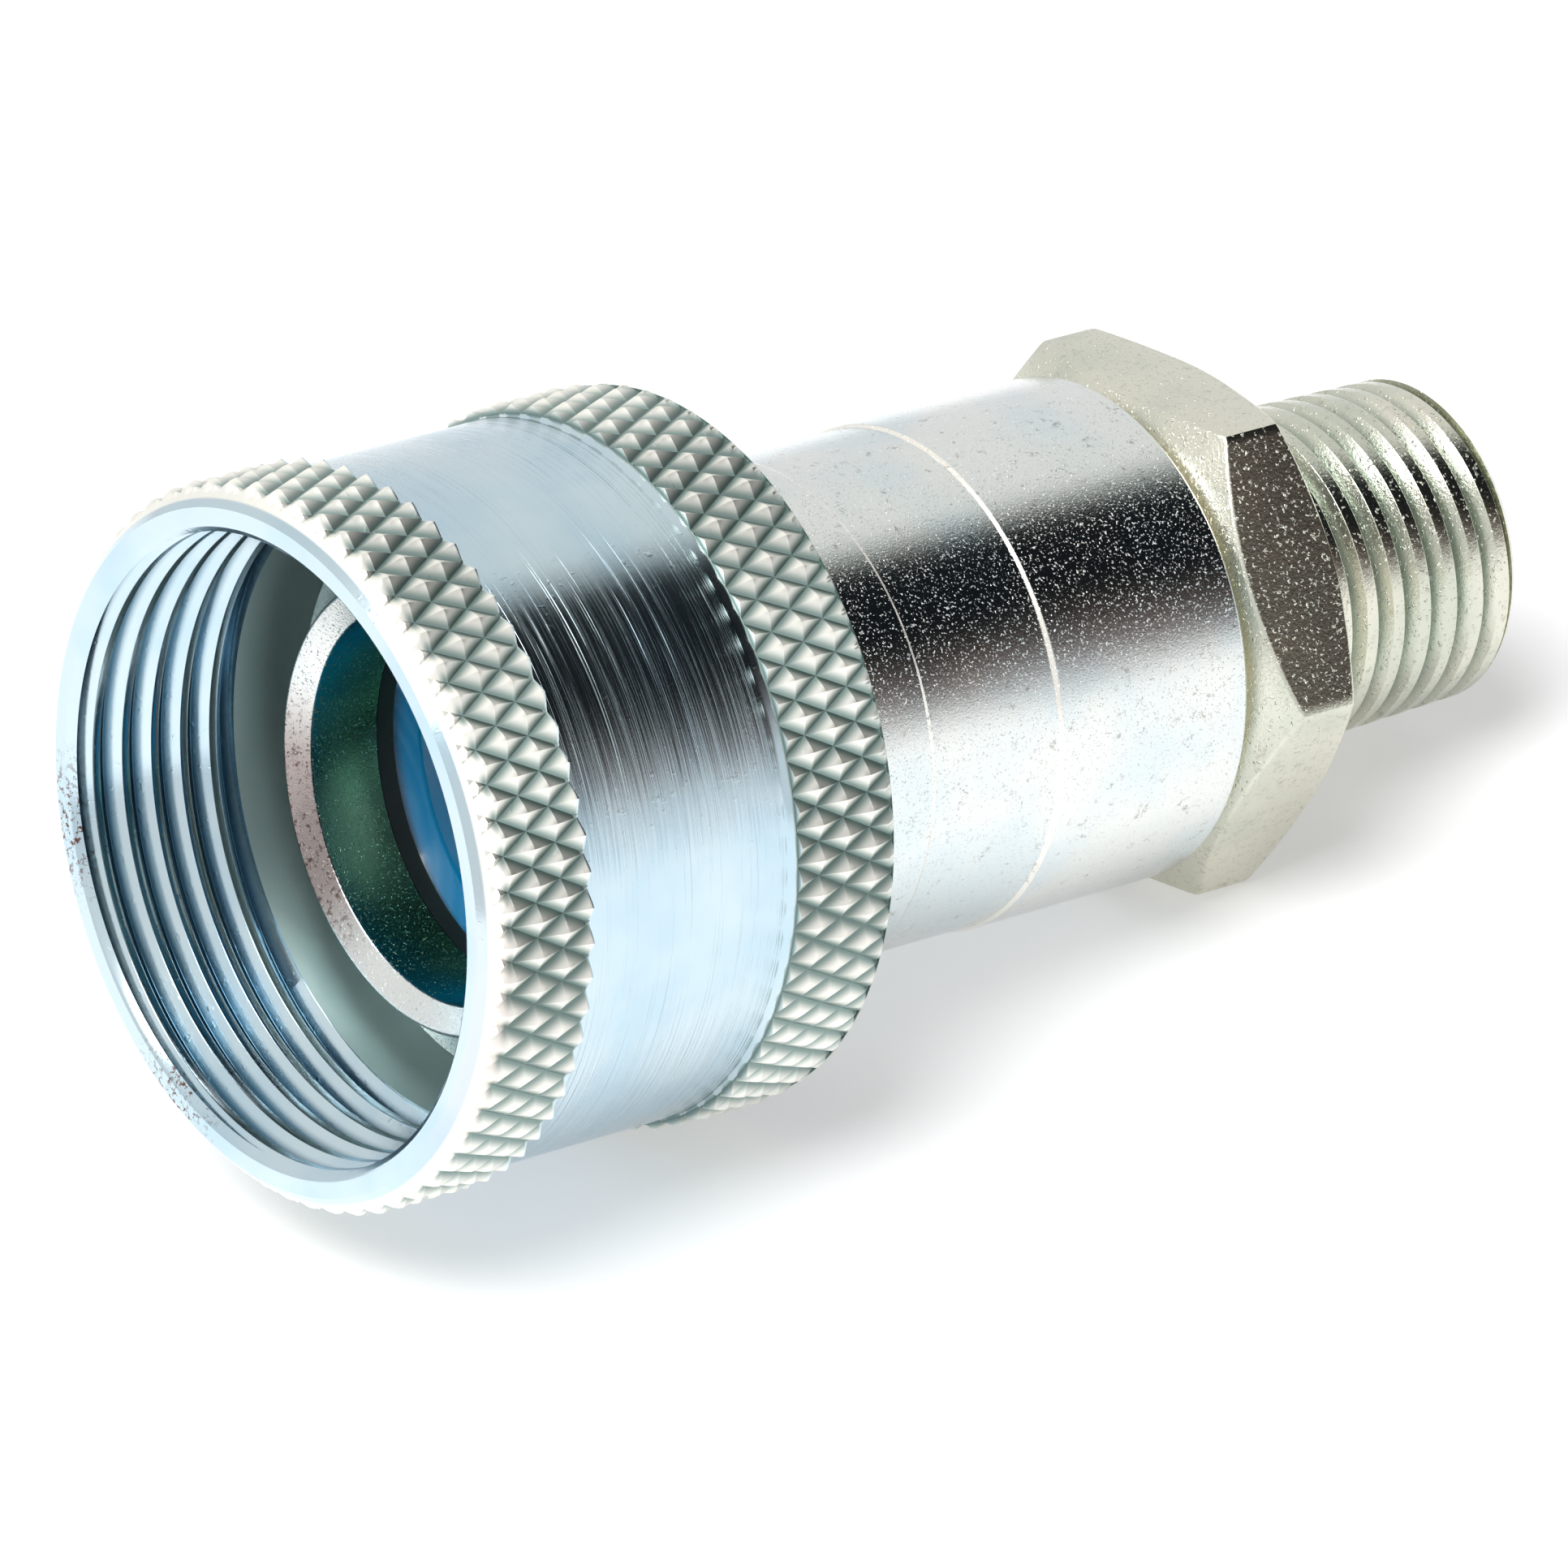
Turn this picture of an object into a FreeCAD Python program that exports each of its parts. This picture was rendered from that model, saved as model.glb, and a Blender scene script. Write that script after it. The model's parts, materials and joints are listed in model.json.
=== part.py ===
import FreeCAD, Part
import math
import os
import Sketcher
from FreeCAD import Placement, Rotation, Vector

# Hydraulic coupler half with a swivelling threaded collar, a spring-loaded
# poppet valve and a pipe adapter. Every turned piece shares one centre line.
# Stations run along it from the mouth of the collar, at 0, to the pipe end.
# The finished coupler lies on the rear rim of the collar and on one hexagon
# flat of the adapter, as it comes to rest on a table.

doc = FreeCAD.newDocument("coupler_half")
sheet = doc.addObject("Spreadsheet::Sheet", "Sheet")


class Size:
    """A size that knows both its value in millimetres and its sheet formula."""

    def __init__(self, value, formula):
        self.value = value
        self.formula = formula

    def __add__(self, other):
        return Size(self.value + other.value, f"({self.formula} + {other.formula})")

    def __sub__(self, other):
        return Size(self.value - other.value, f"({self.formula} - {other.formula})")

    def __mul__(self, factor):
        return Size(self.value * factor, f"({self.formula} * {factor})")

    def __truediv__(self, factor):
        return Size(self.value / factor, f"({self.formula} / {factor})")


def size(name, value):
    """Writes a driving size on the next row of the sheet and returns it."""
    size.row += 1
    sheet.set(f"A{size.row}", name)
    sheet.set(f"B{size.row}", str(value))
    sheet.setAlias(f"B{size.row}", name)
    return Size(float(value), f"Sheet.{name}")


size.row = 0
centre = Size(0.0, "0")

# Bores of the body, each stepped from the socket that the mating nose enters
socket_radius = size("socket_radius", 7.95)
gland_depth = size("gland_depth", 1.05)
seal_ledge = size("seal_ledge", 4.0)
seat_width = size("seat_width", 2.6)
guide_ledge = size("guide_ledge", 0.5)
tail_thread_depth = size("tail_thread_depth", 0.45)
gland_radius = socket_radius + gland_depth
seat_bore_radius = gland_radius - seal_ledge
chamber_radius = seat_bore_radius + seat_width
tail_bore_radius = chamber_radius + guide_ledge
tail_thread_radius = tail_bore_radius + tail_thread_depth

# Outside of the body
nose_wall = size("nose_wall", 1.2)
flange_height = size("flange_height", 2.95)
barrel_wall = size("barrel_wall", 1.75)
waist_depth = size("waist_depth", 0.12)
land_depth = size("land_depth", 0.02)
nose_radius = socket_radius + nose_wall
flange_radius = nose_radius + flange_height
barrel_radius = tail_thread_radius + barrel_wall
waist_radius = barrel_radius - waist_depth
land_radius = barrel_radius - land_depth

# Collar: radii, from the flange that passes its thread outwards
swivel_clearance = size("swivel_clearance", 0.07)
flange_passage = size("flange_passage", 0.55)
mouth_bevel = size("mouth_bevel", 0.3)
face_width = size("face_width", 0.7)
relief_depth = size("relief_depth", 0.8)
band_wall = size("band_wall", 0.65)
knurl_height = size("knurl_height", 0.55)
thread_radius = flange_radius + flange_passage
mouth_radius = thread_radius + mouth_bevel
face_radius = mouth_radius + face_width
relief_radius = thread_radius + relief_depth
band_radius = relief_radius + band_wall
crest_radius = band_radius + knurl_height

# Collar: stations
front_bevel = size("front_bevel", 0.95)
front_knurl_end = size("front_knurl_end", 4.9)
band_width = size("band_width", 9.65)
shoulder_width = size("shoulder_width", 0.45)
rear_knurl_width = size("rear_knurl_width", 4.6)
rear_bevel = size("rear_bevel", 0.3)
shoulder_start = front_knurl_end + band_width
rear_knurl_start = shoulder_start + shoulder_width
collar_length = rear_knurl_start + rear_knurl_width

# Collar: knurl, as crossing grooves wide enough to leave sharp points
knurl_count = size("knurl_count", 64)
knurl_angle = size("knurl_angle", 30)
knurl_depth = size("knurl_depth", 0.45)
knurl_runout = size("knurl_runout", 0.4)
knurl_crossing = size("knurl_crossing", 1.22)
rest_depth = size("rest_depth", 0.135)

# Rings that hold the collar
washer_thickness = size("washer_thickness", 0.6)
washer_clearance = size("washer_clearance", 0.35)
end_play = size("end_play", 0.1)
ring_thickness = size("ring_thickness", 1.0)
ring_height = size("ring_height", 1.52)
ring_groove_depth = size("ring_groove_depth", 0.53)
ring_opening = size("ring_opening", 4.5)
ring_clearance = size("ring_clearance", 0.4)
groove_clearance = size("groove_clearance", 0.05)
ring_radius = land_radius + ring_height
ring_recess_radius = ring_radius + ring_clearance
ring_recess_depth = ring_thickness + end_play * 3

# Body: stations from the nose to the flange, and the web of the collar behind it
nose_front = size("nose_front", 7.65)
nose_bevel = size("nose_bevel", 0.15)
lip_depth = size("lip_depth", 0.52)
nose_length = size("nose_length", 2.95)
flange_bevel = size("flange_bevel", 0.3)
flange_thickness = size("flange_thickness", 2.4)
thread_length = size("thread_length", 7.25)
thread_depth = size("thread_depth", 0.7)
thread_flank_angle = size("thread_flank_angle", 30)
flange_front = nose_front + nose_length
flange_rear = flange_front + flange_thickness
web_front = flange_rear + washer_thickness + end_play
thread_end = mouth_bevel + thread_length

# Seals in the nose
socket_depth = size("socket_depth", 3.75)
seal_clearance = size("seal_clearance", 0.05)
backup_thickness = size("backup_thickness", 0.8)
rod_seal_length = size("rod_seal_length", 3.5)
rod_seal_grip = size("rod_seal_grip", 0.2)
rod_seal_bevel = size("rod_seal_bevel", 0.7)
rod_seal_notch = size("rod_seal_notch", 1.5)
loader_section = size("loader_section", 0.28)
gland_front = nose_front + socket_depth
backup_front = gland_front + seal_clearance
backup_rear = backup_front + backup_thickness
rod_seal_front = backup_rear + seal_clearance
rod_seal_rear = rod_seal_front + rod_seal_length
gland_rear = rod_seal_rear + seal_clearance
rod_seal_radius = socket_radius - rod_seal_grip

# Poppet valve
seat_land = size("seat_land", 1.75)
nose_lead = size("nose_lead", 0.1)
nose_pin_length = size("nose_pin_length", 2.8)
nose_pin_radius = size("nose_pin_radius", 2.6)
nose_pin_bevel = size("nose_pin_bevel", 0.4)
nose_cone_length = size("nose_cone_length", 1.0)
nose_cap_thickness = size("nose_cap_thickness", 0.5)
nose_cap_clearance = size("nose_cap_clearance", 0.5)
stud_radius = size("stud_radius", 1.45)
stud_length = size("stud_length", 2.8)
poppet_seal_length = size("poppet_seal_length", 1.5)
seat_gap = size("seat_gap", 0.08)
head_gap = size("head_gap", 0.4)
head_clearance = size("head_clearance", 0.6)
head_land = size("head_land", 1.2)
spring_boss_radius = size("spring_boss_radius", 3.3)
spring_boss_length = size("spring_boss_length", 1.0)
stem_radius = size("stem_radius", 2.2)
stem_overhang = size("stem_overhang", 0.4)
stem_bevel = size("stem_bevel", 0.3)
seat_start = gland_rear + seat_land
nose_cap_rear = seat_start + nose_lead
nose_cone_start = nose_cap_rear - nose_cap_thickness - nose_cone_length
nose_pin_front = nose_cone_start - nose_pin_length
nose_cap_radius = seat_bore_radius - nose_cap_clearance
poppet_neck_radius = stud_radius * 2
head_radius = chamber_radius - head_clearance

# Valve spring
spring_wire_radius = size("spring_wire_radius", 0.45)
spring_turns = size("spring_turns", 4.5)
spring_clearance = size("spring_clearance", 0.03)
spring_play = size("spring_play", 0.15)
spring_radius = spring_boss_radius + spring_wire_radius + spring_play

# Valve guide and its ring
chamber_length = size("chamber_length", 12.0)
guide_thickness = size("guide_thickness", 1.6)
guide_clearance = size("guide_clearance", 0.05)
guide_hub_wall = size("guide_hub_wall", 1.4)
guide_hub_length = size("guide_hub_length", 1.4)
stem_clearance = size("stem_clearance", 0.07)
port_count = size("port_count", 6)
port_radius = size("port_radius", 1.2)
guide_ring_thickness = size("guide_ring_thickness", 0.8)
guide_ring_height = size("guide_ring_height", 0.85)
guide_ring_groove = size("guide_ring_groove", 0.5)
guide_ring_opening = size("guide_ring_opening", 3.0)
guide_step = seat_start + chamber_length
guide_rear = guide_step + guide_thickness
guide_hub_radius = stem_radius + guide_hub_wall
guide_hub_rear = guide_rear + guide_hub_length
guide_ring_front = guide_rear + groove_clearance
guide_ring_rear = guide_ring_front + guide_ring_thickness + groove_clearance
guide_ring_bore = tail_bore_radius - guide_ring_height

# Adapter: spigot and its seal
spigot_gap = size("spigot_gap", 0.4)
spigot_bevel = size("spigot_bevel", 0.3)
countersink_depth = size("countersink_depth", 2.0)
flow_radius = size("flow_radius", 4.2)
seal_groove_margin = size("seal_groove_margin", 0.8)
seal_groove_length = size("seal_groove_length", 2.3)
seal_groove_depth = size("seal_groove_depth", 1.3)
seal_groove_rest = size("seal_groove_rest", 0.6)
adapter_backup_thickness = size("adapter_backup_thickness", 0.8)
spigot_front = guide_ring_rear + spigot_gap
seal_groove_front = spigot_front + seal_groove_margin
seal_groove_rear = seal_groove_front + seal_groove_length
tail_thread_start = seal_groove_rear + seal_groove_rest
spigot_radius = tail_bore_radius - groove_clearance
seal_groove_radius = spigot_radius - seal_groove_depth

# Tail and outside of the body
tail_thread_length = size("tail_thread_length", 4.7)
tail_bevel = size("tail_bevel", 0.3)
waist_lead = size("waist_lead", 5.2)
waist_length = size("waist_length", 6.4)
waist_bevel = size("waist_bevel", 0.15)
body_bevel = size("body_bevel", 0.3)
body_end = tail_thread_start + tail_thread_length
waist_start = collar_length + waist_lead
waist_end = waist_start + waist_length

# Adapter: hexagon and tapered pipe end
hex_flats = size("hex_flats", 20)
hex_corner_ratio = size("hex_corner_ratio", 1.15)
hex_neck_length = size("hex_neck_length", 0.8)
hex_neck_depth = size("hex_neck_depth", 1.0)
hex_width = size("hex_width", 5.2)
hex_bevel_angle = size("hex_bevel_angle", 30)
pipe_length = size("pipe_length", 12)
pipe_end_radius = size("pipe_end_radius", 6.63)
pipe_taper_angle = size("pipe_taper_angle", 1.79)
pipe_bevel = size("pipe_bevel", 0.55)
pipe_thread_depth = size("pipe_thread_depth", 0.6)
half_flats = hex_flats / 2
shoulder_radius = half_flats - hex_neck_depth
hex_flat_front = body_end + hex_neck_length
hex_rear = body_end + hex_width
pipe_end = hex_rear + pipe_length

parts = []


def rest_placement():
    """Turns the coupler until the rear points of the knurl and the flat's rear edge meet the floor."""
    foot_radius = crest_radius.value - rest_depth.value
    foot_station = collar_length.value - rear_bevel.value
    angle = math.atan2(foot_radius - half_flats.value, hex_rear.value - foot_station)
    height = foot_station * math.sin(angle) + foot_radius * math.cos(angle)
    left = -face_radius.value * math.sin(angle)
    pipe_face = pipe_end_radius.value - pipe_bevel.value
    right = pipe_end.value * math.cos(angle) + pipe_face * math.sin(angle)
    turn = Rotation(Vector(0, 1, 0), math.degrees(angle))
    return Placement(Vector(-(left + right) / 2, 0, height), turn)


def tangent(angle):
    """The tangent of an angle of the sheet, as a size."""
    return Size(math.tan(math.radians(angle.value)), f"tan({angle.formula} * 1 deg)")


def product(first, second):
    """The product of two sizes."""
    return Size(first.value * second.value, f"({first.formula} * {second.formula})")


def new_body(label):
    """An empty body for one sub-part, lying in the resting place."""
    body = doc.addObject("PartDesign::Body", label)
    body.Label = label
    body.Placement = rest_placement()
    parts.append(body)
    return body


def origin_feature(body, role):
    """The plane or axis of a body's own origin that has the given role."""
    for feature in body.Origin.OriginFeatures:
        if feature.Role == role:
            return feature
    raise RuntimeError(f"{body.Label} has no {role}")


def new_sketch(body, name, plane):
    """A sketch on one of the body's own planes."""
    sketch = body.newObject("Sketcher::SketchObject", name)
    sketch.AttachmentSupport = [(origin_feature(body, plane), "")]
    sketch.MapMode = "FlatFace"
    return sketch


def hold(sketch, kind, element, point, value):
    """Holds one coordinate of a sketch point at a sheet formula, or on the axis where it is nil."""
    if value.formula == "0":
        axis = -2 if kind == "DistanceX" else -1
        sketch.addConstraint(Sketcher.Constraint("PointOnObject", element, point, axis))
        return
    row = sketch.addConstraint(Sketcher.Constraint(kind, -1, 1, element, point, value.value))
    sketch.setExpression(f"Constraints[{row}]", value.formula)


def crown(start, end):
    """A convex arc from a corner to the next, which runs clockwise round a centre on the centre line."""
    centre_x = (end.x ** 2 + end.y ** 2 - start.x ** 2 - start.y ** 2) / (2 * (end.x - start.x))
    circle = Part.Circle(Vector(centre_x, 0, 0), Vector(0, 0, 1), math.hypot(start.x - centre_x, start.y))
    return Part.ArcOfCircle(circle, math.atan2(end.y, end.x - centre_x), math.atan2(start.y, start.x - centre_x))


def draw_outline(sketch, points, crowned=()):
    """A closed outline, each corner held at its own two sizes. Its edges are straight, except for an
    arc after each of the crowned corners."""
    corners = [Vector(across.value, up.value, 0) for across, up in points]
    edges = []
    for row, (start, end) in enumerate(zip(corners, corners[1:] + corners[:1])):
        shape = crown(start, end) if row in crowned else Part.LineSegment(start, end)
        edges.append((sketch.addGeometry(shape, False), row in crowned))
    for (edge, arc), (following, next_arc) in zip(edges, edges[1:] + edges[:1]):
        joined = Sketcher.Constraint("Coincident", edge, 1 if arc else 2, following, 2 if next_arc else 1)
        sketch.addConstraint(joined)
    for (edge, arc), (across, up) in zip(edges, points):
        hold(sketch, "DistanceX", edge, 2 if arc else 1, across)
        hold(sketch, "DistanceY", edge, 2 if arc else 1, up)
        if arc:
            sketch.addConstraint(Sketcher.Constraint("PointOnObject", edge, 3, -1))


def draw_circle(sketch, across, up, radius):
    """A circle whose centre and radius are held at their sizes."""
    middle = Vector(across.value, up.value, 0)
    circle = sketch.addGeometry(Part.Circle(middle, Vector(0, 0, 1), radius.value), False)
    hold(sketch, "DistanceX", circle, 3, across)
    hold(sketch, "DistanceY", circle, 3, up)
    row = sketch.addConstraint(Sketcher.Constraint("Radius", circle, radius.value))
    sketch.setExpression(f"Constraints[{row}]", radius.formula)


def revolve(body, sketch):
    """A full turn of a sketch about the centre line."""
    turned = body.newObject("PartDesign::Revolution", "Turned")
    turned.Profile = sketch
    turned.ReferenceAxis = (sketch, ["H_Axis"])
    turned.Angle = 360
    sketch.Visibility = False
    body.Tip = turned


def turned_piece(label, points, crowned=()):
    """A piece turned from its outline of stations and radii."""
    body = new_body(label)
    sketch = new_sketch(body, "Outline", "XY_Plane")
    draw_outline(sketch, points, crowned)
    revolve(body, sketch)
    return body


def thread_vees(first, pitch, count, depth, wall):
    """Corners of a thread, drawn as one ring groove to each turn. The wall gives its crests' radius.
    Inside a bore, whose outline runs forward, both the pitch and the depth are negative."""
    opening = product(depth, tangent(thread_flank_angle))
    corners = []
    for turn in range(count):
        middle = first + pitch * turn
        corners += [(middle - opening, wall(middle - opening)), (middle, wall(middle) - depth),
                    (middle + opening, wall(middle + opening))]
    return corners


def round_ring(label, station, radius, section):
    """A ring of round section, such as an o-ring."""
    body = new_body(label)
    sketch = new_sketch(body, "Section", "XY_Plane")
    draw_circle(sketch, station, radius, section)
    revolve(body, sketch)
    return body


def cut_through(body, name, sketch, length):
    """Cuts a sketch through the piece, half of the length to each side of its plane."""
    pocket = body.newObject("PartDesign::Pocket", name)
    pocket.Profile = sketch
    pocket.SideType = "Symmetric"
    pocket.Refine = False
    pocket.setExpression("Length", length.formula)
    sketch.Visibility = False
    body.Tip = pocket
    return pocket


def repeat_around(body, name, feature, count):
    """Repeats a cut evenly about the centre line."""
    pattern = body.newObject("PartDesign::PolarPattern", name)
    pattern.Originals = [feature]
    pattern.Axis = (origin_feature(body, "X_Axis"), [""])
    pattern.Angle = 360
    pattern.Refine = False
    pattern.setExpression("Occurrences", count.formula)
    body.Tip = pattern
    return pattern


def cross_sketch(body, name, station, turn=0):
    """A sketch across the centre line at a station, turned about the vertical by an angle."""
    sketch = new_sketch(body, name, "YZ_Plane")
    sketch.AttachmentOffset = Placement(Vector(0, 0, station.value), Rotation(Vector(0, 1, 0), turn))
    sketch.setExpression("AttachmentOffset.Base.z", station.formula)
    return sketch


def cut_knurl(body, name, front, rear, hand):
    """Straight vee grooves of one hand, evenly spaced, that cross the band between two stations."""
    middle = (front + rear) / 2
    spacing = product(crest_radius, Size(math.pi / knurl_count.value, f"(pi / {knurl_count.formula})"))
    lean = math.cos(math.radians(knurl_angle.value))
    slant = Size(lean, f"cos({knurl_angle.formula} * 1 deg)")
    half_width = product(product(spacing, slant), knurl_crossing)
    spread = Size((knurl_depth.value + knurl_runout.value) / knurl_depth.value,
                  f"(({knurl_depth.formula} + {knurl_runout.formula}) / {knurl_depth.formula})")
    opening = product(half_width, spread)
    sketch = cross_sketch(body, f"{name}_vee", middle, hand * knurl_angle.value)
    root = crest_radius - knurl_depth
    brim = crest_radius + knurl_runout
    draw_outline(sketch, [(centre, root), (opening, brim), (centre - opening, brim)])
    reach = Size((rear.value - front.value) / lean, f"(({rear.formula} - {front.formula}) / {slant.formula})")
    groove = cut_through(body, name, sketch, reach + knurl_runout * 2)
    return repeat_around(body, f"{name}_pattern", groove, knurl_count)


def split_ring(body, opening, outer):
    """Opens a ring at its lowest point, as a retaining ring is open to be sprung into its groove."""
    sketch = cross_sketch(body, "Opening", centre)
    half = opening / 2
    draw_outline(sketch, [(centre - half, centre - outer * 1.2), (half, centre - outer * 1.2),
                          (half, centre), (centre - half, centre)])
    cut_through(body, "Opened", sketch, pipe_end * 2)


# Union collar, turned from bar, with two knurled bands and an internal thread at its minor radius
web_bore = land_radius + swivel_clearance
web_rear = collar_length - ring_recess_depth
knurl_root = crest_radius - knurl_depth
collar_pitch = thread_length * 0.1946  # 18 turns to the inch
collar_vees = thread_vees(thread_end - collar_pitch * 0.57, centre - collar_pitch, 5, centre - thread_depth,
                          lambda station: thread_radius)
collar = turned_piece("union_collar", [
    (centre, mouth_radius),
    (centre, face_radius),
    (front_bevel, crest_radius),
    (front_knurl_end, crest_radius),
    (front_knurl_end, band_radius),
    (shoulder_start, band_radius),
    (rear_knurl_start, knurl_root),
    (rear_knurl_start, crest_radius),
    (collar_length - rear_bevel, crest_radius),
    (collar_length, crest_radius - rear_bevel),
    (collar_length, ring_recess_radius),
    (web_rear, ring_recess_radius),
    (web_rear, web_bore),
    (web_front, web_bore),
    (web_front, relief_radius),
    (thread_end, relief_radius),
    (thread_end, thread_radius),
    *collar_vees,
    (mouth_bevel, thread_radius),
])
cut_knurl(collar, "front_right_hand", centre, front_knurl_end, 1)
cut_knurl(collar, "front_left_hand", centre, front_knurl_end, -1)
cut_knurl(collar, "rear_right_hand", rear_knurl_start, collar_length, 1)
cut_knurl(collar, "rear_left_hand", rear_knurl_start, collar_length, -1)

# Thrust washer between the flange of the body and the web of the collar
turned_piece("thrust_washer", [
    (flange_rear, web_bore),
    (flange_rear, relief_radius - washer_clearance),
    (flange_rear + washer_thickness, relief_radius - washer_clearance),
    (flange_rear + washer_thickness, web_bore),
])

# Retaining ring, sprung into a groove behind the web, that keeps the collar on the body
ring_front = web_rear + end_play
ring_seat = land_radius - ring_groove_depth
retaining_ring = turned_piece("collar_retaining_ring", [
    (ring_front, ring_seat + groove_clearance),
    (ring_front, ring_radius),
    (ring_front + ring_thickness, ring_radius),
    (ring_front + ring_thickness, ring_seat + groove_clearance),
])
split_ring(retaining_ring, ring_opening, ring_radius)

# Socket body, turned and bored: nose with its gland, valve seat, spring chamber and tail thread
groove_floor = tail_bore_radius + guide_ring_groove
turned_piece("socket_body", [
    (nose_front, nose_radius - nose_bevel),
    (nose_front + nose_bevel, nose_radius),
    (flange_front, nose_radius),
    (flange_front, flange_radius - flange_bevel),
    (flange_front + flange_bevel, flange_radius),
    (flange_rear, flange_radius),
    (flange_rear, land_radius),
    (ring_front - groove_clearance, land_radius),
    (ring_front - groove_clearance, ring_seat),
    (ring_front + ring_thickness + groove_clearance, ring_seat),
    (ring_front + ring_thickness + groove_clearance, land_radius),
    (waist_start, land_radius),
    (waist_start + waist_bevel, waist_radius),
    (waist_end, waist_radius),
    (waist_end + waist_bevel, barrel_radius),
    (body_end - body_bevel, barrel_radius),
    (body_end, barrel_radius - body_bevel),
    (body_end, tail_thread_radius + tail_bevel),
    (body_end - tail_bevel, tail_thread_radius),
    (tail_thread_start, tail_thread_radius),
    (tail_thread_start, tail_bore_radius),
    (guide_ring_rear, tail_bore_radius),
    (guide_ring_rear, groove_floor),
    (guide_ring_front - groove_clearance, groove_floor),
    (guide_ring_front - groove_clearance, tail_bore_radius),
    (guide_step, tail_bore_radius),
    (guide_step, chamber_radius),
    (seat_start + chamber_radius - seat_bore_radius, chamber_radius),
    (seat_start, seat_bore_radius),
    (gland_rear, seat_bore_radius),
    (gland_rear, gland_radius),
    (gland_front, gland_radius),
    (gland_front, socket_radius),
    (nose_front + lip_depth, socket_radius),
])

# Back-up ring at the front of the gland
turned_piece("seal_backup_ring", [
    (backup_front, socket_radius),
    (backup_front, gland_radius - seal_clearance),
    (backup_rear, gland_radius - seal_clearance),
    (backup_rear, socket_radius),
])

# Rod seal of u-shaped section that closes on the mating nose
rod_seal_middle = (gland_radius - seal_clearance + rod_seal_radius) / 2
lip_edge = (gland_radius - seal_clearance - rod_seal_radius) / 5
turned_piece("rod_seal", [
    (rod_seal_front, rod_seal_radius + rod_seal_bevel),
    (rod_seal_front, gland_radius - seal_clearance),
    (rod_seal_rear, gland_radius - seal_clearance),
    (rod_seal_rear, gland_radius - seal_clearance - lip_edge),
    (rod_seal_rear - rod_seal_notch, rod_seal_middle),
    (rod_seal_rear, rod_seal_radius + lip_edge),
    (rod_seal_rear, rod_seal_radius),
    (rod_seal_front + rod_seal_bevel * 1.5, rod_seal_radius),
])

# Round ring that spreads the lips of the rod seal
round_ring("seal_loader_ring", rod_seal_rear - loader_section, rod_seal_middle, loader_section)

# Poppet: head with its neck and stem, and a stud for the nose
poppet_front = nose_cap_rear + seat_gap / 4
poppet_seal_front = poppet_front + seat_gap / 4
poppet_seal_rear = poppet_seal_front + poppet_seal_length
head_front = poppet_seal_rear + seat_gap / 2
head_edge = head_front - seat_start + seat_bore_radius - head_gap
head_rear = head_front + head_radius - head_edge + head_land
stem_rear = guide_hub_rear + stem_overhang
turned_piece("valve_poppet", [
    (nose_cap_rear - stud_length, centre),
    (nose_cap_rear - stud_length, stud_radius),
    (poppet_front, stud_radius),
    (poppet_front, poppet_neck_radius),
    (head_front, poppet_neck_radius),
    (head_front, head_edge),
    (head_front + head_radius - head_edge, head_radius),
    (head_rear, head_radius),
    (head_rear, spring_boss_radius),
    (head_rear + spring_boss_length, spring_boss_radius),
    (head_rear + spring_boss_length, stem_radius),
    (stem_rear - stem_bevel, stem_radius),
    (stem_rear, stem_radius - stem_bevel),
    (stem_rear, centre),
])

# Nose of the poppet, screwed on the stud, which the mating half pushes and which clamps the seal
turned_piece("poppet_nose", [
    (nose_pin_front, centre),
    (nose_pin_front, nose_pin_radius - nose_pin_bevel),
    (nose_pin_front + nose_pin_bevel, nose_pin_radius),
    (nose_cone_start, nose_pin_radius),
    (nose_cap_rear - nose_cap_thickness, nose_cap_radius),
    (nose_cap_rear, nose_cap_radius),
    (nose_cap_rear, stud_radius + groove_clearance),
    (nose_cap_rear - stud_length - groove_clearance * 2, stud_radius + groove_clearance),
    (nose_cap_rear - stud_length - groove_clearance * 2, centre),
])

# Seal of the poppet, a moulded ring whose cone closes on the seat of the body
turned_piece("poppet_seal", [
    (poppet_seal_front, poppet_neck_radius + groove_clearance),
    (poppet_seal_front, poppet_seal_front - seat_start + seat_bore_radius - seat_gap),
    (poppet_seal_rear, poppet_seal_rear - seat_start + seat_bore_radius - seat_gap),
    (poppet_seal_rear, poppet_neck_radius + groove_clearance),
])

# Valve spring, wound from round wire, between the head of the poppet and the guide
spring_front = head_rear.value + spring_clearance.value + spring_wire_radius.value
spring_length = guide_step.value - spring_clearance.value - spring_wire_radius.value - spring_front
helix = Part.makeHelix(spring_length / spring_turns.value, spring_length, spring_radius.value)
wire_section = Part.makeCircle(spring_wire_radius.value, Vector(spring_radius.value, 0, 0), Vector(0, 1, 0))
spring_shape = Part.Wire(helix.Edges).makePipeShell([Part.Wire([wire_section])], True, True)
spring = doc.addObject("Part::Feature", "valve_spring")
spring.Label = "valve_spring"
spring.Shape = spring_shape
lengthwise = Placement(Vector(spring_front, 0, 0), Rotation(Vector(0, 1, 0), 90))
wire_end_turn = Placement(Vector(0, 0, 0), Rotation(Vector(0, 0, 1), 120))
spring.Placement = rest_placement().multiply(lengthwise).multiply(wire_end_turn)
parts.append(spring)

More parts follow.
